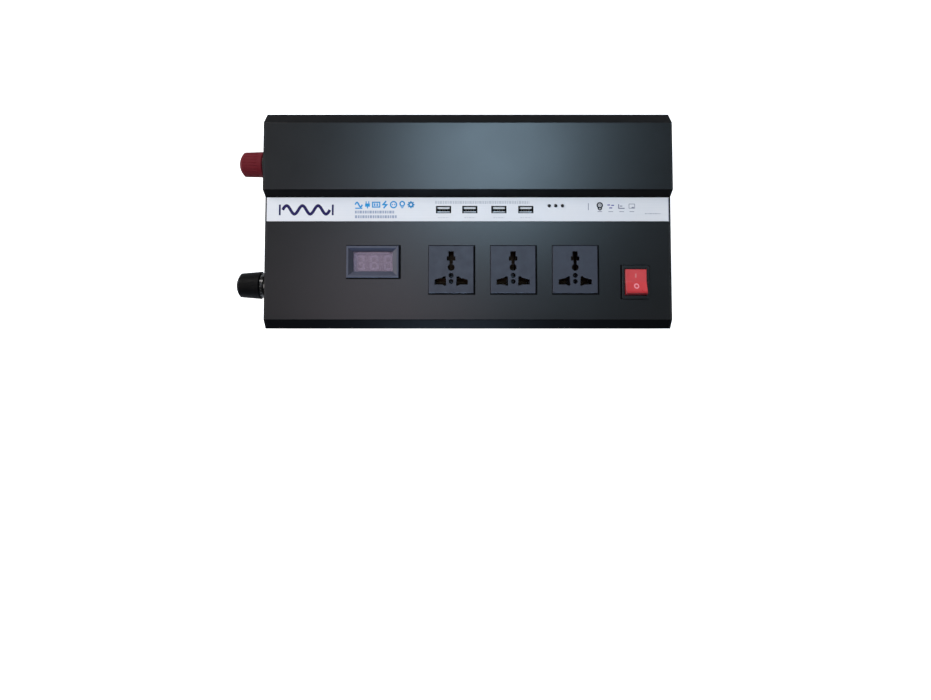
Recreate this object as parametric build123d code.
from build123d import *
import math
import os

# Power inverter: a black aluminium case with a raised back, a silver label strip along the foot of the
# step, a meter, three universal sockets and a rocker switch on the low front panel, two battery
# terminals on the left end and two fans behind the right end.
#
# All sizes are millimetres. The origin is the centre of the four mounting slots, on the underside of
# the tray. +X runs to the fan end, +Y from the low front panel to the raised back, +Z up.

# ---------------------------------------------------------------- driving dimensions: the case
BODY_LENGTH = 372.0
BODY_DEPTH = 198.0
BODY_HEIGHT = 85.0
PANEL_Z = 76.5            # top of the low front panel
FRONT_SHOULDER_Z = 70.0   # where the front chamfer meets the front wall
BACK_SHOULDER_Z = 74.0    # where the back chamfer meets the back wall
FRONT_RIDGE_Y = -90.0     # panel meets front chamfer
STEP_FOOT_Y = 22.0        # panel meets the step up to the raised back
STEP_TOP_Y = 28.0
BACK_RIDGE_Y = 89.4       # raised back meets back chamfer
COVER_WALL = 2.0
RIDGE_RADIUS = 0.9
END_PLATE_T = 1.5
TRAY_T = 2.0
TRAY_EAR_END_X = 203.0
TRAY_EAR_WIDTH = 170.0
TRAY_EAR_CORNER = 6.0
TRAY_FLANGE_TOP_Z = 22.0
TRAY_FLANGE_T = 1.5
CUTOUT_CLEARANCE = 0.4    # how much larger a hole in the panel is than what stands in it
VENT_SIZE = (14.0, 3.0)   # slots in the left end plate
VENT_ROWS_Z = (24.0, 44.0, 64.0)
VENT_PITCH = 7.0
VENTS_EACH_SIDE = 4
GRILLE_RADII = (9.0, 14.2, 19.4, 24.6)
GRILLE_SLOT = 3.2
GRILLE_SPOKE = 3.4

# ---------------------------------------------------------------- driving dimensions: fasteners
SLOT_SPACING_X = 388.0
SLOT_SPACING_Y = 140.0
SLOT_LENGTH = 9.0
SLOT_RADIUS = 2.5
M3_RADIUS = 1.5
M3_HEAD = (2.8, 1.9)      # radius and height of a pan head
M4_HEAD = (3.6, 2.2)
TAPPING_RADIUS = 1.3      # bore of the screw channels in the cover
CHANNEL_RADIUS = 3.4
CHANNELS = [(-93.8, 28.0), (-92.5, 69.2), (21.0, 71.8), (58.0, 80.6), (90.8, 76.6), (93.8, 28.0)]
PLATE_SCREW_HEAD = 2.9    # radius of the countersunk heads
PLATE_SCREW_LENGTH = 10.0
SIDE_SCREW_LENGTH = 7.0
SIDE_SCREW_X = [-150.0, 0.0, 150.0]
SIDE_SCREW_Z = 12.0

# ---------------------------------------------------------------- driving dimensions: front panel
STRIP_FRONT_Y = -0.4
STRIP_T = 0.3
METER_CENTRE = (-86.8, -37.4)
METER_SIZE = (48.0, 29.0)
METER_WINDOW = (36.0, 17.8)
METER_BODY = (45.4, 26.2)
METER_STAND = 2.6         # bezel above the panel
SOCKET_X = [-15.2, 41.3, 97.9]
SOCKET_Y = -44.4
SOCKET_SIZE = (41.0, 43.2)
SOCKET_BODY = (36.4, 38.4)
SOCKET_STAND = 1.5
SOCKET_DEPTH = 23.0       # below the panel
SWITCH_CENTRE = (152.8, -56.0)
SWITCH_BEZEL = (25.6, 31.2)
SWITCH_BODY = (21.8, 27.8)
SWITCH_BEZEL_T = 2.2
ROCKER_WIDTH = 19.6
ROCKER_RADIUS = 11.8      # end faces, round the pivot
ROCKER_TILT = 11.0        # degrees either side of level
USB_X = [-22.3, 1.8, 28.5, 53.2]
USB_Y = 10.3
USB_SIZE = (13.1, 5.9)
LED_X = [74.7, 80.7, 86.8]
LED_Y = 13.8
LED_RADIUS = 1.5

# ---------------------------------------------------------------- driving dimensions: terminals
TERMINAL_Z = 40.0
TERMINALS = {
    # name: (Y, how far the knob is unscrewed, radius at the skirt, radius at the tip, rise of the dome)
    "positive": (56.8, 0.0, 12.5, 12.0, 5.0),
    "negative": (-60.6, 0.8, 13.2, 11.6, 4.3),
}
STUD_RADIUS = 4.0
STUD_CLEARANCE = 0.1
STUD_OUT = 17.0           # beyond the collar, under the knob
BASE_FLANGE_RADIUS = 16.0
BASE_FLANGE_T = 3.0
BASE_RADIUS = 12.8
BASE_T = 4.5
COLLAR_RADIUS = 11.8
COLLAR_T = 4.0
CLAMP_WASHER_T = 1.5
INSERT_T = 1.5            # knurled ring that shows at the knob's skirt
SLEEVE_RADIUS = 7.0
SLEEVE_LENGTH = 6.5
KNOB_LENGTH = 24.4
KNOB_FLUTES = 24
FLUTE_RADIUS = 1.2
BUSH_RADIUS = 8.8
NUT_RADIUS = 6.5          # to the middle of a flat
NUT_T = 6.5

# ---------------------------------------------------------------- driving dimensions: inside
BOARD_Z = 10.0
BOARD_T = 1.6
BOARD_X = (-160.0, 158.0)
BOARD_Y = (-88.0, 88.0)
STANDOFF_PLACES = [(x, y) for x in (-147.0, 0.0, 148.0) for y in (-62.0, 62.0)]
FAN_SIZE = 60.0
FAN_T = 20.0
FAN_Y = {"front": -47.0, "rear": 47.0}
FAN_Z = 36.0
FAN_DUCT_RADIUS = 28.5
FAN_HOLE_PITCH = 50.0
FAN_BLADES = 7
FAN_SCREW_RADIUS = 1.95

HALF_LENGTH = BODY_LENGTH / 2
COVER_END_X = HALF_LENGTH - END_PLATE_T
HALF_DEPTH = BODY_DEPTH / 2
BOARD_TOP = BOARD_Z + BOARD_T

parts = {}


# ---------------------------------------------------------------- shape helpers
def block(x, y, z):
    """A box between two values on each axis."""
    centre = ((x[0] + x[1]) / 2, (y[0] + y[1]) / 2, (z[0] + z[1]) / 2)
    return Pos(*centre) * Box(x[1] - x[0], y[1] - y[0], z[1] - z[0])


def about(centre, size):
    """The low and high value of a stretch of the given size about a centre."""
    return (centre - size / 2, centre + size / 2)


def rod_x(x, y, z, radius):
    return Pos((x[0] + x[1]) / 2, y, z) * Rot(0, 90, 0) * Cylinder(radius, x[1] - x[0])


def rod_y(x, y, z, radius):
    return Pos(x, (y[0] + y[1]) / 2, z) * Rot(90, 0, 0) * Cylinder(radius, y[1] - y[0])


def rod_z(x, y, z, radius):
    return Pos(x, y, (z[0] + z[1]) / 2) * Cylinder(radius, z[1] - z[0])


def extrude_x(face, x_low, x_high):
    """Extrude a face drawn in Y and Z between two X values."""
    return Pos(x_low, 0, 0) * extrude(Plane.YZ * face, amount=x_high - x_low)


def extrude_z(face, z_low, z_high):
    return Pos(0, 0, z_low) * extrude(face, amount=z_high - z_low)


def panel_box(centre, size, z):
    """A box about a centre on the front panel."""
    return block(about(centre[0], size[0]), about(centre[1], size[1]), z)


def pan_screw(head_radius, head_height, shank_radius, length):
    """A cross-head screw: the head stands on Z = 0 and the shank runs down."""
    head = fillet(rod_z(0, 0, (0, head_height), head_radius).edges().sort_by(Axis.Z)[-1], head_height * 0.45)
    recess_z = (head_height * 0.45, head_height + 1)
    for turn in (0, 90):
        bar = block(about(0, head_radius * 1.1), about(0, head_radius * 0.26), recess_z)
        head -= Rot(0, 0, turn) * bar
    return head + rod_z(0, 0, (-length, 0.1), shank_radius)


def flush_screw(head_radius, head_height, shank_radius, length):
    """A countersunk cross-head screw, its head's flat face on Z = 0."""
    head = Pos(0, 0, -head_height / 2) * Cone(shank_radius, head_radius, head_height)
    for turn in (0, 90):
        bar = block(about(0, head_radius * 1.1), about(0, head_radius * 0.26), (-head_height * 0.7, 1))
        head -= Rot(0, 0, turn) * bar
    return head + rod_z(0, 0, (-length, 0.1 - head_height), shank_radius)


def facing(x, y, z, direction):
    """Where a screw goes whose head points along the given direction."""
    return Location(Plane(origin=(x, y, z), z_dir=direction))


def group(solids):
    return Compound(children=[s for item in solids for s in item.solids()])


# ---------------------------------------------------------------- case
def case_outline():
    """The closed outline of the case in Y and Z, with its corners sharp."""
    front = [(-HALF_DEPTH, TRAY_T), (-HALF_DEPTH, FRONT_SHOULDER_Z), (FRONT_RIDGE_Y, PANEL_Z)]
    step = [(STEP_FOOT_Y, PANEL_Z), (STEP_TOP_Y, BODY_HEIGHT)]
    back = [(BACK_RIDGE_Y, BODY_HEIGHT), (HALF_DEPTH, BACK_SHOULDER_Z), (HALF_DEPTH, TRAY_T)]
    return make_face(Polyline(*front, *step, *back, close=True))


def rounded_outline():
    face = case_outline()
    return fillet([v for v in face.vertices() if v.Y > TRAY_T + 1], RIDGE_RADIUS)


def top_cover():
    inside = offset(case_outline(), amount=-COVER_WALL, kind=Kind.INTERSECTION)
    half_inside = HALF_DEPTH - COVER_WALL
    inside += Pos(0, TRAY_T + 2) * Rectangle(2 * half_inside, 10)
    cover = extrude_x(rounded_outline() - inside, -COVER_END_X, COVER_END_X)
    for y, z in CHANNELS:
        cover += rod_x((-COVER_END_X, COVER_END_X), y, z, CHANNEL_RADIUS)
        cover -= rod_x((-COVER_END_X - 1, COVER_END_X + 1), y, z, TAPPING_RADIUS)
    through = (PANEL_Z - 6, PANEL_Z + 3)
    cover -= cutout(METER_CENTRE, METER_BODY, through)
    cover -= cutout(SWITCH_CENTRE, SWITCH_BODY, through)
    for x in SOCKET_X:
        cover -= cutout((x, SOCKET_Y), SOCKET_BODY, through)
    cover -= strip_openings(through)
    for x in SIDE_SCREW_X:
        cover -= rod_y(x, (-HALF_DEPTH - 1, HALF_DEPTH + 1), SIDE_SCREW_Z, M3_RADIUS + 0.2)
    return cover


def cutout(centre, size, z):
    """The hole in the panel for something of the given size."""
    return panel_box(centre, (size[0] + CUTOUT_CLEARANCE, size[1] + CUTOUT_CLEARANCE), z)


def strip_openings(z):
    """The USB mouths and lamp holes, through the label strip and the panel under it."""
    cuts = [cutout((x, USB_Y), USB_SIZE, z) for x in USB_X]
    for x in LED_X:
        cuts.append(rod_z(x, LED_Y, z, LED_RADIUS + 0.1))
    return cuts


def label_strip():
    y = (STRIP_FRONT_Y, STEP_FOOT_Y - 0.6)
    strip = block((-COVER_END_X, COVER_END_X), y, (PANEL_Z, PANEL_Z + STRIP_T))
    return strip - strip_openings((PANEL_Z - 1, PANEL_Z + 1))


def end_plate(low_x):
    """An end plate with a countersunk hole over each screw channel of the cover."""
    plate = extrude_x(rounded_outline(), low_x, low_x + END_PLATE_T)
    side = 1 if low_x > 0 else -1
    sink = Pos(0, 0, -END_PLATE_T / 2) * Cone(M3_RADIUS, PLATE_SCREW_HEAD + 0.1, END_PLATE_T)
    for y, z in CHANNELS:
        plate -= facing(side * HALF_LENGTH, y, z, (side, 0, 0)) * sink
    return plate


def left_end_plate():
    plate = end_plate(-HALF_LENGTH)
    cut = (-HALF_LENGTH - 1, -COVER_END_X + 1)
    for y, *_ in TERMINALS.values():
        plate -= rod_x(cut, y, TERMINAL_Z, BUSH_RADIUS + 0.2)
    for row_z in VENT_ROWS_Z:
        for step in range(-VENTS_EACH_SIDE, VENTS_EACH_SIDE + 1):
            face = Pos(step * VENT_PITCH, row_z) * SlotOverall(*VENT_SIZE, rotation=90)
            plate -= extrude_x(face, *cut)
    return plate


def right_end_plate():
    plate = end_plate(COVER_END_X)
    cut = (COVER_END_X - 1, HALF_LENGTH + 1)
    spoke = Rectangle(2 * FAN_SIZE, GRILLE_SPOKE)
    spokes = Rot(0, 0, 45) * spoke + Rot(0, 0, -45) * spoke
    for fan_y in FAN_Y.values():
        for radius in GRILLE_RADII:
            ring = Circle(radius + GRILLE_SLOT / 2) - Circle(radius - GRILLE_SLOT / 2) - spokes
            plate -= extrude_x(Pos(fan_y, FAN_Z) * ring, *cut)
        for y, z in fan_corners(fan_y):
            plate -= rod_x(cut, y, z, FAN_SCREW_RADIUS + 0.2)
    return plate


def fan_corners(fan_y):
    reach = FAN_HOLE_PITCH / 2
    return [(fan_y + j * reach, FAN_Z + k * reach) for j in (-1, 1) for k in (-1, 1)]


def base_tray():
    tray = block((-HALF_LENGTH, HALF_LENGTH), (-HALF_DEPTH, HALF_DEPTH), (0, TRAY_T))
    ears = RectangleRounded(2 * TRAY_EAR_END_X, TRAY_EAR_WIDTH, TRAY_EAR_CORNER)
    tray += extrude_z(ears, 0, TRAY_T)
    flange_y = HALF_DEPTH - COVER_WALL - TRAY_FLANGE_T
    for side in (-1, 1):
        y = sorted((side * flange_y, side * (HALF_DEPTH - COVER_WALL)))
        tray += block((-COVER_END_X + 2, COVER_END_X - 2), y, (0, TRAY_FLANGE_TOP_Z))
    for x in SIDE_SCREW_X:
        tray -= rod_y(x, (-HALF_DEPTH - 1, HALF_DEPTH + 1), SIDE_SCREW_Z, M3_RADIUS + 0.05)
    slot = SlotOverall(SLOT_LENGTH, 2 * SLOT_RADIUS)
    for j in (-1, 1):
        for k in (-1, 1):
            place = Pos(j * SLOT_SPACING_X / 2, k * SLOT_SPACING_Y / 2)
            tray -= extrude_z(place * slot, -1, TRAY_T + 1)
    return tray


def end_plate_screws():
    screw = flush_screw(PLATE_SCREW_HEAD, END_PLATE_T - 0.1, TAPPING_RADIUS - 0.05, PLATE_SCREW_LENGTH)
    screws = []
    for side in (-1, 1):
        screws += [facing(side * HALF_LENGTH, y, z, (side, 0, 0)) * screw for y, z in CHANNELS]
    return group(screws)


def side_screws():
    screw = pan_screw(*M3_HEAD, M3_RADIUS, SIDE_SCREW_LENGTH)
    places = [(x, side) for x in SIDE_SCREW_X for side in (-1, 1)]
    return group([facing(x, side * HALF_DEPTH, SIDE_SCREW_Z, (0, side, 0)) * screw for x, side in places])


parts["top_cover"] = top_cover()
parts["base_tray"] = base_tray()
parts["left_end_plate"] = left_end_plate()
parts["right_end_plate"] = right_end_plate()
parts["label_strip"] = label_strip()
parts["end_plate_screws"] = end_plate_screws()
parts["side_screws"] = side_screws()


# ---------------------------------------------------------------- battery terminals, on the left end
PLATE_X = -HALF_LENGTH
COLLAR_X = PLATE_X - BASE_T                # outer face of the plastic base, where the stud's collar sits
WASHER_X = COLLAR_X - COLLAR_T             # outer face of the collar, where a cable lug is clamped
BUSH_X = -COVER_END_X + 3.5                # inner end of the insulating base, inside the end plate
LUG_X = BUSH_X + 2.0                       # inner face of the busbar


def terminal_base(y):
    flange = rod_x((PLATE_X - BASE_FLANGE_T, PLATE_X), y, TERMINAL_Z, BASE_FLANGE_RADIUS)
    flange = chamfer(flange.edges().sort_by(Axis.X)[0], 1.0)
    base = flange + rod_x((COLLAR_X, PLATE_X), y, TERMINAL_Z, BASE_RADIUS)
    base += rod_x((PLATE_X - 0.1, BUSH_X), y, TERMINAL_Z, BUSH_RADIUS)
    return base - rod_x((COLLAR_X - 1, BUSH_X + 1), y, TERMINAL_Z, STUD_RADIUS + 0.05)


def terminal_stud(y):
    outer_x = WASHER_X - STUD_OUT
    inner_x = LUG_X + NUT_T + 3.5
    stud = rod_x((outer_x, inner_x), y, TERMINAL_Z, STUD_RADIUS)
    stud = chamfer(stud.edges().group_by(Axis.X)[0] + stud.edges().group_by(Axis.X)[-1], 0.6)
    return stud + rod_x((WASHER_X, COLLAR_X), y, TERMINAL_Z, COLLAR_RADIUS)


def stud_nut(y):
    hexagon = RegularPolygon(NUT_RADIUS, 6, major_radius=False)
    nut = Pos(LUG_X, y, TERMINAL_Z) * Rot(0, 90, 0) * extrude(hexagon, NUT_T)
    return nut - rod_x((LUG_X - 1, LUG_X + NUT_T + 1), y, TERMINAL_Z, STUD_RADIUS + 0.05)


def clamp_washer(y, out):
    x = WASHER_X - out
    washer = rod_x((x - CLAMP_WASHER_T, x), y, TERMINAL_Z, COLLAR_RADIUS + 0.1)
    return washer - rod_x((x - CLAMP_WASHER_T - 1, x + 1), y, TERMINAL_Z, STUD_RADIUS + STUD_CLEARANCE)


def knob_insert(y, out):
    """The knurled brass nut moulded into the knob. Its outer ring shows at the knob's skirt."""
    x = WASHER_X - CLAMP_WASHER_T - out
    radius = COLLAR_RADIUS + 0.2
    ring = Circle(radius) - Circle(STUD_RADIUS + STUD_CLEARANCE)
    for i in range(KNOB_FLUTES):
        ring -= Rot(0, 0, i * 360 / KNOB_FLUTES) * Pos(radius + 0.2, 0) * Circle(0.7)
    collar = extrude_x(Pos(y, TERMINAL_Z) * ring, x - INSERT_T, x)
    sleeve_x = (x - INSERT_T - SLEEVE_LENGTH, x - INSERT_T + 0.1)
    sleeve = rod_x(sleeve_x, y, TERMINAL_Z, SLEEVE_RADIUS)
    sleeve -= rod_x((sleeve_x[0] - 1, x + 1), y, TERMINAL_Z, STUD_RADIUS + STUD_CLEARANCE)
    return collar + sleeve


def knob(y, out, skirt_radius, tip_radius, dome):
    """A tapered plastic knob with a domed end and grip flutes, hollow over the stud."""
    x0 = WASHER_X - CLAMP_WASHER_T - INSERT_T - out
    x1 = x0 - KNOB_LENGTH
    shoulder = x1 + dome
    rise = (tip_radius ** 2 + dome ** 2) / (2 * dome)
    angle = math.asin(tip_radius / rise)
    middle = (shoulder + rise * (math.cos(angle) - math.cos(angle / 2)), rise * math.sin(angle / 2))
    skirt_end = [(x0 - 1.0, skirt_radius), (x0, skirt_radius - 1.0), (x0, 0)]
    outline = Polyline((shoulder, tip_radius), *skirt_end, (x1, 0))
    cap = ThreePointArc((x1, 0), middle, (shoulder, tip_radius))
    body = Pos(0, y, TERMINAL_Z) * revolve(make_face([*outline.edges(), cap]), axis=Axis.X)
    flute_length = 2 * (KNOB_LENGTH - dome - 4.0)
    flute = Pos(0, skirt_radius + 0.57, 0) * Rot(0, 90, 0) * Cylinder(FLUTE_RADIUS, flute_length)
    for i in range(KNOB_FLUTES):
        body -= Pos(shoulder - 1, y, TERMINAL_Z) * Rot(360 * i / KNOB_FLUTES, 0, 0) * flute
    body -= rod_x((x0 - SLEEVE_LENGTH, x0 + 1), y, TERMINAL_Z, SLEEVE_RADIUS)
    return body - rod_x((x0 - STUD_OUT, x0 + 1), y, TERMINAL_Z, STUD_RADIUS + 0.5)


for pole, (pole_y, unscrewed, skirt, tip, dome_rise) in TERMINALS.items():
    parts[f"{pole}_terminal_base"] = terminal_base(pole_y)
    parts[f"{pole}_terminal_stud"] = terminal_stud(pole_y)
    parts[f"{pole}_clamp_washer"] = clamp_washer(pole_y, unscrewed)
    parts[f"{pole}_knob_insert"] = knob_insert(pole_y, unscrewed)
    parts[f"{pole}_knob"] = knob(pole_y, unscrewed, skirt, tip, dome_rise)
parts["stud_nuts"] = group([stud_nut(y) for y, *_ in TERMINALS.values()])


# ---------------------------------------------------------------- universal sockets
SOCKET_TOP = PANEL_Z + SOCKET_STAND
SOCKET_FACE_T = 3.2
SOCKET_FLOOR_Z = PANEL_Z - SOCKET_DEPTH
BLADE_X = 10.0            # live and neutral contacts, either side of the socket's centre
BLADE_Y = -11.5
EARTH_Y = 8.0             # middle of the earth contact, above the socket's centre
BLADE_CHAMBER = (12.0, 9.6)
EARTH_CHAMBER = (10.2, 19.6)
TAIL_SLOT = (4.6, 1.6)    # in the socket's floor, for the contacts' tails
CLIP_LEAF_T = 0.7
CLIP_TOP_Z = SOCKET_TOP - 9.0
TAIL_LENGTH = 6.0


def socket_apertures():
    """The slots and round holes in a socket's face, about the socket's centre."""
    blade = make_face(Polyline((15.1, -9.3), (15.1, -13.8), (8.6, -13.8), (5.6, -15.0), (4.5, -14.5),
                               (4.9, -6.4), (6.6, -6.2), (8.4, -7.6), close=True))
    holes = blade + mirror(blade, Plane.YZ)
    holes += Pos(0, 13.2) * Rectangle(4.9, 6.4)
    holes += Pos(0, 9.9) * Rectangle(7.7, 3.8)
    holes += Pos(0, 6.6) * Rectangle(3.0, 3.2)
    holes += Pos(0, 1.8) * Circle(3.15)
    holes += Pos(0, -5.5) * Circle(2.3)
    holes += Pos(0, -11.0) * Circle(2.15)
    return holes


def ac_socket(x):
    plate = panel_box((x, SOCKET_Y), SOCKET_SIZE, (PANEL_Z, SOCKET_TOP))
    plate = chamfer(plate.edges().group_by(Axis.Z)[-1], 0.4)
    socket = plate + panel_box((x, SOCKET_Y), SOCKET_BODY, (SOCKET_FLOOR_Z, PANEL_Z + 0.1))
    face_z = SOCKET_TOP - SOCKET_FACE_T
    socket -= Pos(x, SOCKET_Y, 0) * extrude_z(socket_apertures(), face_z - 12.0, SOCKET_TOP + 1)
    chambers = (SOCKET_FLOOR_Z + 2.0, face_z)
    slots = (SOCKET_FLOOR_Z - 1, face_z)
    for side in (-1, 1):
        blade = (x + side * BLADE_X, SOCKET_Y + BLADE_Y)
        socket -= panel_box(blade, BLADE_CHAMBER, chambers)
        socket -= panel_box(blade, TAIL_SLOT, slots)
    socket -= panel_box((x, SOCKET_Y + EARTH_Y), EARTH_CHAMBER, chambers)
    return socket - panel_box((x, SOCKET_Y + EARTH_Y), TAIL_SLOT, slots)


def clip(centre, length, gap, along_x):
    """A folded brass clip with two leaves, and a tail that leaves through the socket's floor."""
    low = SOCKET_FLOOR_Z + 2.1
    width = gap + 2 * CLIP_LEAF_T
    foot = (length, width) if along_x else (width, length)
    pieces = [panel_box(centre, foot, (low, low + 0.8))]
    for side in (-1, 1):
        shift = side * (gap + CLIP_LEAF_T) / 2
        x = about(centre[0], length) if along_x else about(centre[0] + shift, CLIP_LEAF_T)
        y = about(centre[1] + shift, CLIP_LEAF_T) if along_x else about(centre[1], length)
        pieces.append(block(x, y, (low, CLIP_TOP_Z)))
    tail_size = (TAIL_SLOT[0] - 0.4, TAIL_SLOT[1] - 0.7)
    pieces.append(panel_box(centre, tail_size, (SOCKET_FLOOR_Z - TAIL_LENGTH, low + 0.4)))
    return Part() + pieces


def socket_contacts(x):
    blades = [clip((x + side * BLADE_X, SOCKET_Y + BLADE_Y), 10.6, 4.6, True) for side in (-1, 1)]
    return group(blades + [clip((x, SOCKET_Y + EARTH_Y), 18.0, 5.0, False)])


for number, socket_x in enumerate(SOCKET_X, start=1):
    parts[f"ac_socket_{number}"] = ac_socket(socket_x)
    parts[f"socket_contacts_{number}"] = socket_contacts(socket_x)


# ---------------------------------------------------------------- digital meter
METER_TOP = PANEL_Z + METER_STAND
METER_FACE_Z = PANEL_Z - 1.2       # underside of the bezel's web, where the window sits
METER_CAVITY = (41.6, 22.6)
METER_RIM = 1.9
METER_DEPTH = 20.0
METER_BOARD_TOP = METER_FACE_Z - 8.6
METER_BOARD_LOW = METER_BOARD_TOP - 1.6
METER_PLUG_X = METER_CENTRE[0] - 12.0
METER_PLUG_LOW = METER_BOARD_LOW - 6.0


def meter_bezel():
    rim = panel_box(METER_CENTRE, METER_SIZE, (PANEL_Z, METER_TOP))
    rim = chamfer(rim.edges().group_by(Axis.Z)[-1], 0.5)
    bezel = rim + panel_box(METER_CENTRE, METER_BODY, (PANEL_Z - METER_DEPTH, PANEL_Z + 0.1))
    mouth_size = (METER_SIZE[0] - 2 * METER_RIM, METER_SIZE[1] - 2 * METER_RIM)
    mouth = Pos(*METER_CENTRE, METER_TOP) * Rectangle(*mouth_size)
    throat = Pos(*METER_CENTRE, PANEL_Z) * Rectangle(*METER_WINDOW)
    bezel -= loft([throat, mouth])
    bezel -= panel_box(METER_CENTRE, METER_WINDOW, (METER_FACE_Z - 1, PANEL_Z + 0.1))
    return bezel - panel_box(METER_CENTRE, METER_CAVITY, (PANEL_Z - METER_DEPTH - 1, METER_FACE_Z))


def meter_board():
    x, y = METER_CENTRE
    low = METER_BOARD_LOW
    board = panel_box(METER_CENTRE, (41.0, 22.0), (low, METER_BOARD_TOP))
    chip = panel_box((x + 8.0, y), (9.0, 7.0), (low - 1.6, low))
    plug = panel_box((METER_PLUG_X, y), (7.5, 5.0), (METER_PLUG_LOW, low))
    return board + chip + plug


parts["meter_bezel"] = meter_bezel()
parts["meter_window"] = panel_box(METER_CENTRE, (41.2, 22.2), (METER_FACE_Z - 1.4, METER_FACE_Z))
parts["meter_display"] = panel_box(METER_CENTRE, (37.6, 19.4), (METER_FACE_Z - 8.4, METER_FACE_Z - 1.8))
parts["meter_board"] = meter_board()


# ---------------------------------------------------------------- rocker switch
SWITCH_TOP = PANEL_Z + SWITCH_BEZEL_T
SWITCH_FLOOR_Z = PANEL_Z - 20.5
SWITCH_TAB_LOW_Z = SWITCH_FLOOR_Z - 8.0
PIVOT_Z = PANEL_Z + 0.7
PIVOT_RADIUS = 1.6
POLE_REACH = 5.0          # the two poles, either side of the switch's centre
POLE_X = [SWITCH_CENTRE[0] - POLE_REACH, SWITCH_CENTRE[0] + POLE_REACH]
ROCKER_DIP = 2.6          # pivot up to the crease between the rocker's two faces
ROCKER_LOW_Z = -3.1
STEM_LOW_Z = -10.5
PLUNGER_RADIUS = 1.7
PLUNGER_TIP_RADIUS = 1.2
PLUNGER_REACH = 13.8      # pivot to the plunger's tip
BRIDGE_Z = PIVOT_Z - 14.7 # pivot of the seesaw contacts
BRIDGE_TILT = 8.0
BRIDGE_HALF = 8.0
KNUCKLE_RADIUS = 0.8      # round ridge that a seesaw contact rocks on


def switch_housing():
    x, y = SWITCH_CENTRE
    bezel = panel_box(SWITCH_CENTRE, SWITCH_BEZEL, (PANEL_Z, SWITCH_TOP))
    bezel = fillet(bezel.edges().filter_by(Axis.Z), 1.6)
    bezel = fillet(bezel.edges().group_by(Axis.Z)[-1], 0.8)
    housing = bezel + panel_box(SWITCH_CENTRE, SWITCH_BODY, (SWITCH_FLOOR_Z, PANEL_Z + 0.1))
    opening = (ROCKER_WIDTH + 0.8, 2 * ROCKER_RADIUS + 0.7)
    housing -= panel_box(SWITCH_CENTRE, opening, (SWITCH_FLOOR_Z + 2.0, SWITCH_TOP + 1))
    housing -= rod_x(about(x, SWITCH_BODY[0] + 1), y, PIVOT_Z, PIVOT_RADIUS + 0.08)
    for pole_x in POLE_X:
        for tab_y in (0.0, -BRIDGE_HALF):
            housing -= panel_box((pole_x, y + tab_y), (5.0, 1.2), (SWITCH_FLOOR_Z - 1, SWITCH_FLOOR_Z + 3))
    return housing


def switch_rocker():
    """The rocker, modelled level about its pivot and then tilted to ON, its back half pressed."""
    slope = math.tan(math.radians(ROCKER_TILT))
    a, b, c = 1 + slope ** 2, 2 * ROCKER_DIP * slope, ROCKER_DIP ** 2 - ROCKER_RADIUS ** 2
    end_y = (-b + math.sqrt(b * b - 4 * a * c)) / (2 * a)
    end_z = ROCKER_DIP + slope * end_y
    low_y = math.sqrt(ROCKER_RADIUS ** 2 - ROCKER_LOW_Z ** 2)
    edges = Polyline((-end_y, end_z), (0, ROCKER_DIP), (end_y, end_z)).edges()
    edges += ThreePointArc((end_y, end_z), (ROCKER_RADIUS, 0), (low_y, ROCKER_LOW_Z)).edges()
    edges += Polyline((low_y, ROCKER_LOW_Z), (-low_y, ROCKER_LOW_Z)).edges()
    edges += ThreePointArc((-low_y, ROCKER_LOW_Z), (-ROCKER_RADIUS, 0), (-end_y, end_z)).edges()
    rocker = extrude_x(make_face(edges), -ROCKER_WIDTH / 2, ROCKER_WIDTH / 2)
    high = rocker.edges().filter_by(lambda edge: edge.center().Z > ROCKER_DIP - 0.1)
    rim = high.filter_by(lambda edge: abs(edge.center().X) > 1)
    rocker = fillet(rim, 0.7)
    pin_half = SWITCH_BODY[0] / 2 - 0.1
    rocker += rod_x((-pin_half, pin_half), 0, 0, PIVOT_RADIUS)
    for side in (-1, 1):
        stem_x = side * POLE_REACH
        rocker += block(about(stem_x, 5.6), (-3.0, 3.0), (STEM_LOW_Z, ROCKER_LOW_Z + 0.1))
        rocker -= rod_z(stem_x, 0, (STEM_LOW_Z - 1, -4.5), PLUNGER_RADIUS + 0.05)
    return Pos(*SWITCH_CENTRE, PIVOT_Z) * Rot(-ROCKER_TILT, 0, 0) * rocker


def switch_plungers():
    """The spring plungers in the rocker's two stems, which ride on the seesaw contacts."""
    plungers = []
    tip_z = PLUNGER_TIP_RADIUS - PLUNGER_REACH
    for x in (-POLE_REACH, POLE_REACH):
        shank = rod_z(x, 0, (tip_z, -4.6), PLUNGER_RADIUS)
        plungers.append(shank + Pos(x, 0, tip_z) * Sphere(PLUNGER_TIP_RADIUS))
    return Pos(*SWITCH_CENTRE, PIVOT_Z) * Rot(-ROCKER_TILT, 0, 0) * group(plungers)


def switch_contact_bridges():
    """Two seesaw contacts, each a flat strip on a round knuckle at its middle."""
    bridges = []
    for pole_x in (-POLE_REACH, POLE_REACH):
        x = about(pole_x, 4.4)
        strip = Rot(BRIDGE_TILT, 0, 0) * block(x, about(0, 2 * BRIDGE_HALF), (-0.5, 0.5))
        bridges.append(strip + rod_x(x, 0, 0, KNUCKLE_RADIUS))
    return Pos(*SWITCH_CENTRE, BRIDGE_Z) * group(bridges)


def switch_terminals():
    tabs = []
    for x in POLE_X:
        for tab_y, top in ((0.0, BRIDGE_Z - 0.9), (-BRIDGE_HALF, BRIDGE_Z - 2.0)):
            tab = panel_box((x, SWITCH_CENTRE[1] + tab_y), (4.8, 0.8), (SWITCH_TAB_LOW_Z, top))
            hole = rod_y(x, about(SWITCH_CENTRE[1] + tab_y, 3), SWITCH_TAB_LOW_Z + 3.5, 0.8)
            tabs.append(tab - hole)
    return group(tabs)


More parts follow.
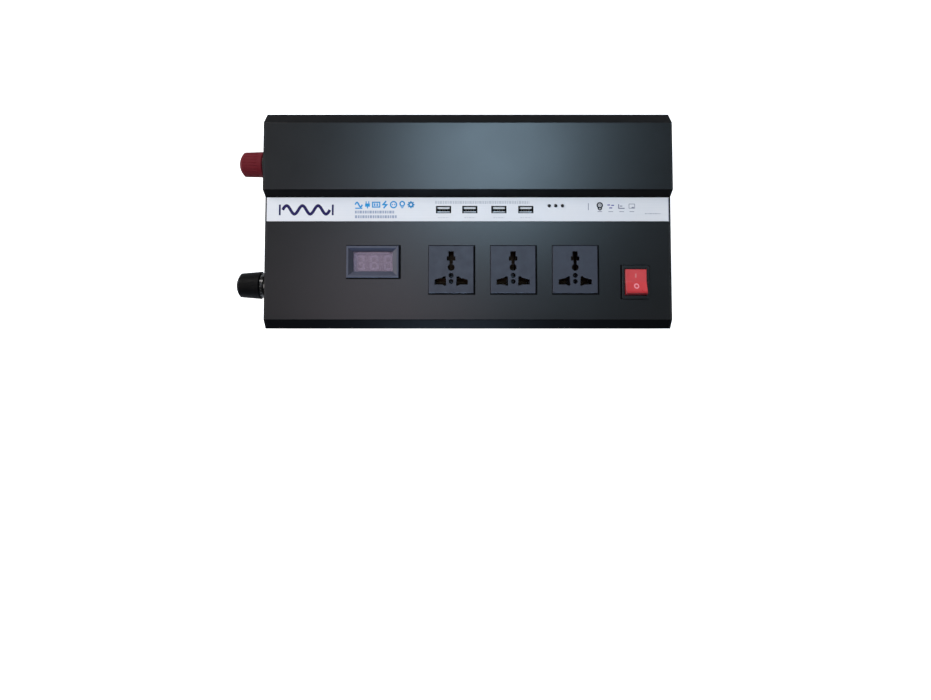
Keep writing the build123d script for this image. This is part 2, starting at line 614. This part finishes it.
parts["switch_housing"] = switch_housing()
parts["switch_rocker"] = switch_rocker()
parts["switch_plungers"] = switch_plungers()
parts["switch_contact_bridges"] = switch_contact_bridges()
parts["switch_terminals"] = switch_terminals()


# ---------------------------------------------------------------- USB ports and indicator lamps
USB_TOP = PANEL_Z + STRIP_T
USB_LOW = PANEL_Z - 12.7
USB_WALL = 0.35
IO_BOARD_T = 1.6


def usb_shell(x):
    shell = fillet(panel_box((x, USB_Y), USB_SIZE, (USB_LOW, USB_TOP)).edges().filter_by(Axis.Z), 0.6)
    inside = (USB_SIZE[0] - 2 * USB_WALL, USB_SIZE[1] - 2 * USB_WALL)
    return shell - panel_box((x, USB_Y), inside, (USB_LOW + 0.4, USB_TOP + 1))


def usb_tongue(x):
    inside = (USB_SIZE[0] - 2 * USB_WALL - 0.1, USB_SIZE[1] - 2 * USB_WALL - 0.1)
    back = panel_box((x, USB_Y), inside, (USB_LOW + 0.45, USB_LOW + 3.0))
    return back + panel_box((x, USB_Y + 1.25), (10.9, 2.0), (USB_LOW + 2.9, USB_TOP - 1.0))


def status_lamp(x):
    body = rod_z(x, LED_Y, (PANEL_Z - 3.1, PANEL_Z + 0.1), LED_RADIUS)
    lamp = body + Pos(x, LED_Y, PANEL_Z + 0.1) * Sphere(LED_RADIUS)
    lamp += rod_z(x, LED_Y, (PANEL_Z - 3.1, PANEL_Z - 2.3), LED_RADIUS + 0.35)
    for side in (-0.64, 0.64):
        lamp += rod_z(x + side, LED_Y, (USB_LOW, PANEL_Z - 3.0), 0.3)
    return lamp


def io_board():
    board = block((USB_X[0] - 9.0, LED_X[-1] + 7.0), (2.0, 16.8), (USB_LOW - IO_BOARD_T, USB_LOW))
    between = [(a + b) / 2 for a, b in zip(USB_X, USB_X[1:])]
    chips = [panel_box((x, USB_Y), (4.5, 6.0), (USB_LOW, USB_LOW + 1.6)) for x in between]
    return Part() + [board, *chips]


for number, usb_x in enumerate(USB_X, start=1):
    parts[f"usb_shell_{number}"] = usb_shell(usb_x)
parts["usb_tongues"] = group([usb_tongue(x) for x in USB_X])
parts["status_lamps"] = group([status_lamp(x) for x in LED_X])
parts["io_board"] = io_board()


# ---------------------------------------------------------------- fans, behind the right end plate
FAN_X = COVER_END_X - FAN_T
FAN_HUB_RADIUS = 14.5
FAN_BASE_T = 2.5
FAN_CORNER = 4.0
STRUT_WIDTH = 4.0
STRUT_TURN = 20.0         # degrees
BEARING_RADIUS = 4.0
BEARING_END = 13.0        # from the frame's inner face
CUP_RADIUS = 12.8         # inside the rotor's hub
BLADE_PITCH = 55.0        # degrees
BLADE_T = 1.5
STATOR_RADIUS = 11.6
SHAFT_RADIUS = 1.5


def fan_frame(y):
    frame = block((FAN_X, COVER_END_X), about(y, FAN_SIZE), about(FAN_Z, FAN_SIZE))
    frame = fillet(frame.edges().filter_by(Axis.X), FAN_CORNER)
    frame -= rod_x((FAN_X - 1, COVER_END_X + 1), y, FAN_Z, FAN_DUCT_RADIUS)
    for corner_y, corner_z in fan_corners(y):
        frame -= rod_x((FAN_X - 1, COVER_END_X + 1), corner_y, corner_z, FAN_SCREW_RADIUS + 0.15)
    base = (FAN_X, FAN_X + FAN_BASE_T)
    frame += rod_x(base, y, FAN_Z, FAN_HUB_RADIUS)
    for turn in range(4):
        reach = (FAN_HUB_RADIUS - 1, FAN_DUCT_RADIUS + 0.3)
        strut = block((0, FAN_BASE_T), reach, about(0, STRUT_WIDTH))
        frame += Pos(FAN_X, y, FAN_Z) * Rot(90 * turn + STRUT_TURN, 0, 0) * strut
    frame += rod_x((FAN_X + 1, FAN_X + BEARING_END), y, FAN_Z, BEARING_RADIUS)
    return frame - rod_x((FAN_X - 1, FAN_X + BEARING_END + 1), y, FAN_Z, SHAFT_RADIUS + 0.06)


def fan_rotor(y):
    cup = rod_x((4.0, 17.6), 0, 0, FAN_HUB_RADIUS)
    cup = fillet(cup.edges().sort_by(Axis.X)[-1], 1.2)
    cup -= rod_x((3.0, 16.0), 0, 0, CUP_RADIUS)
    blade = Pos(11.2, 21.0, 0) * Rot(0, BLADE_PITCH, 0) * Box(BLADE_T, 15.0, 15.5)
    blades = Part() + [Rot(360 * i / FAN_BLADES, 0, 0) * blade for i in range(FAN_BLADES)]
    ring = rod_x((4.5, 18.5), 0, 0, FAN_DUCT_RADIUS - 0.9) - rod_x((3, 20), 0, 0, FAN_HUB_RADIUS - 0.6)
    rotor = cup + (blades & ring) + rod_x((1.0, 16.5), 0, 0, SHAFT_RADIUS)
    return Pos(FAN_X, y, FAN_Z) * rotor


def fan_stators():
    stators = []
    for y in FAN_Y.values():
        core = rod_x((FAN_X + 4.5, FAN_X + BEARING_END), y, FAN_Z, STATOR_RADIUS)
        core -= rod_x((FAN_X, COVER_END_X), y, FAN_Z, BEARING_RADIUS + 0.1)
        for turn in range(4):
            notch = Rot(90 * turn + 45, 0, 0) * Pos(0, 9.4, 0) * Box(12, 6.5, 2.4)
            core -= Pos(FAN_X + 8.0, y, FAN_Z) * notch
        stators.append(core)
    return group(stators)


def fan_screws():
    screw = pan_screw(*M4_HEAD, FAN_SCREW_RADIUS, 16.0)
    places = [corner for y in FAN_Y.values() for corner in fan_corners(y)]
    return group([facing(HALF_LENGTH, y, z, (1, 0, 0)) * screw for y, z in places])


for place, fan_y in FAN_Y.items():
    parts[f"fan_frame_{place}"] = fan_frame(fan_y)
    parts[f"fan_rotor_{place}"] = fan_rotor(fan_y)
parts["fan_stators"] = fan_stators()
parts["fan_screws"] = fan_screws()


# ---------------------------------------------------------------- power electronics on the main board
TRANSFORMER_X = [-86.0, -31.0, 24.0]
TRANSFORMER_Y = 38.0
CORE_SIZE = (21.0, 50.0, 44.0)
CORE_LOW_Z = BOARD_TOP + 3.0
CORE_YOKE = 8.0
CORE_WINDOW = 10.0        # width of each window, between the middle leg and an outer one
WINDING_SIZE = (36.0, 35.0)
SINK_FACE_Y = 72.0
SINK_BACK_T = 4.0
SINK_REACH = 15.0         # face to the tips of the fins
SINK_FINS = 7
FIN_T = 1.6
SINKS = {
    # name: (side, X range, height)
    "front": (-1, (-110.0, 62.0), 34.0),
    "rear": (1, (-112.0, 132.0), 46.0),
}
TRANSISTOR_X = {"front": [-96.0, -58.0, -20.0, 18.0, 50.0], "rear": [-98.0 + 27.0 * i for i in range(9)]}
SMALL_CAPACITORS = [(x, y) for x in (-142.0, -123.0) for y in (-34.0, -14.0, 6.0)]
LARGE_CAPACITORS = [(76.0, 42.0), (112.0, 42.0)]
CHOKE_CENTRE = (108.0, -22.0)
CONTROL_BOARD_Y = -10.0


def main_board():
    board = block(BOARD_X, BOARD_Y, (BOARD_Z, BOARD_TOP))
    for x, y in STANDOFF_PLACES:
        board -= rod_z(x, y, (BOARD_Z - 1, BOARD_TOP + 1), M3_RADIUS + 0.2)
    return board


def board_standoffs():
    hexagon = RegularPolygon(2.75, 6, major_radius=False) - Circle(M3_RADIUS + 0.05)
    return group([Pos(x, y, 0) * extrude_z(hexagon, TRAY_T, BOARD_Z) for x, y in STANDOFF_PLACES])


def board_screws():
    screw = pan_screw(*M3_HEAD, M3_RADIUS, 6.0)
    return group([Pos(x, y, BOARD_TOP) * screw for x, y in STANDOFF_PLACES])


def transformer_core(x):
    high = CORE_LOW_Z + CORE_SIZE[2]
    core = block(about(x, CORE_SIZE[0]), about(TRANSFORMER_Y, CORE_SIZE[1]), (CORE_LOW_Z, high))
    window_z = (CORE_LOW_Z + CORE_YOKE, high - CORE_YOKE)
    for side in (-1, 1):
        core -= block(about(x, CORE_SIZE[0] + 2), about(TRANSFORMER_Y + side * 13.0, CORE_WINDOW), window_z)
    return core


def transformer_winding(x):
    gap = CORE_YOKE + 0.4
    z = (CORE_LOW_Z + gap, CORE_LOW_Z + CORE_SIZE[2] - gap)
    coil = block(about(x, WINDING_SIZE[0]), about(TRANSFORMER_Y, WINDING_SIZE[1]), z)
    coil = fillet(coil.edges().filter_by(Axis.Z), 5.0)
    return coil - block(about(x, CORE_SIZE[0] + 0.2), about(TRANSFORMER_Y, 16.4), (z[0] - 1, z[1] + 1))


def heat_sink(side, x, height):
    low = BOARD_TOP + 1.0
    back = SINK_FACE_Y + SINK_BACK_T
    sink = block(x, sorted((side * SINK_FACE_Y, side * back)), (low, low + height))
    fin_y = sorted((side * (back - 0.1), side * (SINK_FACE_Y + SINK_REACH)))
    for i in range(SINK_FINS):
        z = low + i * (height - FIN_T) / (SINK_FINS - 1)
        sink += block(x, fin_y, (z, z + FIN_T))
    return sink


def power_transistor(x, side):
    """A transistor stood on its legs, with its metal tab flat on the heat sink. Local +Y faces the sink."""
    low = BOARD_TOP + 6.0
    face = SINK_FACE_Y
    body = block(about(x, 10.0), (face - 4.6, face - 1.2), (low, low + 9.2))
    tab = block(about(x, 10.0), (face - 1.3, face), (low, low + 15.6))
    tab -= rod_y(x, (face - 2, face + 1), low + 12.6, 1.8)
    pieces = [body, tab]
    for leg in (-2.54, 0, 2.54):
        pieces.append(block(about(x + leg, 0.8), about(face - 2.6, 0.6), (BOARD_TOP, low + 0.1)))
    transistor = Part() + pieces
    return transistor if side > 0 else mirror(transistor, Plane.XZ)


def capacitor(x, y, radius, height):
    can = rod_z(x, y, (BOARD_TOP, BOARD_TOP + height), radius)
    can = fillet(can.edges(), 0.8)
    groove = Pos(x, y, BOARD_TOP + 3.4) * Torus(radius + 0.1, 0.7)
    return can - groove


def input_fuse(x):
    y = TERMINALS["positive"][0]
    body = block(about(x, 5.0), about(y, 19.0), (BOARD_TOP + 4.0, BOARD_TOP + 14.0))
    body = fillet(body.edges().group_by(Axis.Z)[-1], 1.0)
    blade_z = (BOARD_TOP, BOARD_TOP + 4.1)
    blades = [block(about(x, 0.8), about(y + side * 6.5, 5.2), blade_z) for side in (-1, 1)]
    return Part() + [body, *blades]


def control_board():
    y = CONTROL_BOARD_Y
    board = block((-72.0, 34.0), about(y, 1.6), (BOARD_TOP + 0.5, BOARD_TOP + 34.0))
    chip_z = (BOARD_TOP + 10.0, BOARD_TOP + 18.0)
    crystal_z = (BOARD_TOP + 24.0, BOARD_TOP + 29.0)
    chips = [block(about(x, 12.0), (y - 3.0, y - 0.7), chip_z) for x in (-50.0, -10.0)]
    crystals = [block(about(x, 4.0), (y - 2.6, y - 0.7), crystal_z) for x in (-30.0, 14.0)]
    return Part() + [board, *chips, *crystals]


def busbar(y):
    """A copper strap from the terminal stud down to the main board."""
    x = (LUG_X - 2.0, LUG_X)
    upright = block(x, about(y, 20.0), (BOARD_TOP, TERMINAL_Z + 10.0))
    foot = block((x[0], BOARD_X[0] + 9.0), about(y, 20.0), (BOARD_TOP, BOARD_TOP + 2.0))
    return upright + foot - rod_x((x[0] - 1, x[1] + 1), y, TERMINAL_Z, STUD_RADIUS + 0.1)


def lead(top, knee_z, shift, foot_z, radius):
    """A wire straight down from a connection, sideways by a shift in X and Y, and down to the board."""
    x, y, z = top
    foot = (x + shift[0], y + shift[1])
    path = FilletPolyline(top, (x, y, knee_z), (*foot, foot_z), (*foot, BOARD_TOP), radius=4.0)
    return sweep(Plane(origin=path @ 0, z_dir=path % 0) * Circle(radius), path=path)


def fan_lead(y):
    x = FAN_X - 9.0
    z = FAN_Z - 6.0
    path = FilletPolyline((FAN_X, y, z), (x, y, z), (x, y, BOARD_TOP), radius=4.0)
    return sweep(Plane(origin=path @ 0, z_dir=path % 0) * Circle(0.8), path=path)


def wiring_harness():
    """Leads from the main board up to the sockets, the switch, the meter, the lamps and the fans."""
    wires = []
    tail_z = SOCKET_FLOOR_Z - TAIL_LENGTH - 0.2
    for x in SOCKET_X:
        for side in (-1, 1):
            top = (x + side * BLADE_X, SOCKET_Y + BLADE_Y, tail_z)
            wires.append(lead(top, 41.0, (0, side * 5.0), 26.0, 1.4))
    for x in POLE_X:
        wires.append(lead((x, SWITCH_CENTRE[1], SWITCH_TAB_LOW_Z - 0.2), 38.0, (-12.0, 8.0), 22.0, 1.1))
    for gap in (-3.0, 3.0):
        meter_plug = (METER_PLUG_X + gap, METER_CENTRE[1], METER_PLUG_LOW - 0.2)
        wires.append(lead(meter_plug, 44.0, (0, 12.0), 30.0, 0.8))
        wires.append(lead((LED_X[1] + gap, 5.0, USB_LOW - IO_BOARD_T), 50.0, (0, -8.0), 34.0, 0.8))
    wires += [fan_lead(y + gap) for y in FAN_Y.values() for gap in (-2.0, 2.0)]
    return group(wires)


parts["main_board"] = main_board()
parts["board_standoffs"] = board_standoffs()
parts["board_screws"] = board_screws()
parts["transformer_cores"] = group([transformer_core(x) for x in TRANSFORMER_X])
parts["transformer_windings"] = group([transformer_winding(x) for x in TRANSFORMER_X])
for place, (side, sink_x, sink_height) in SINKS.items():
    parts[f"heat_sink_{place}"] = heat_sink(side, sink_x, sink_height)
transistors = [power_transistor(x, SINKS[place][0]) for place in SINKS for x in TRANSISTOR_X[place]]
parts["power_transistors"] = group(transistors)
small = [capacitor(x, y, 8.0, 32.0) for x, y in SMALL_CAPACITORS]
large = [capacitor(x, y, 15.0, 42.0) for x, y in LARGE_CAPACITORS]
parts["capacitors"] = group(small + large)
parts["output_choke"] = Pos(*CHOKE_CENTRE, BOARD_TOP + 8.6) * Torus(15.5, 8.4)
parts["input_fuses"] = group([input_fuse(x) for x in (-141.0, -134.0, -127.0, -120.0)])
parts["control_board"] = control_board()
parts["dc_busbars"] = group([busbar(y) for y, *_ in TERMINALS.values()])
parts["wiring_harness"] = wiring_harness()


os.makedirs("parts", exist_ok=True)
for name, shape in parts.items():
    export_step(shape, f"parts/{name}.step")
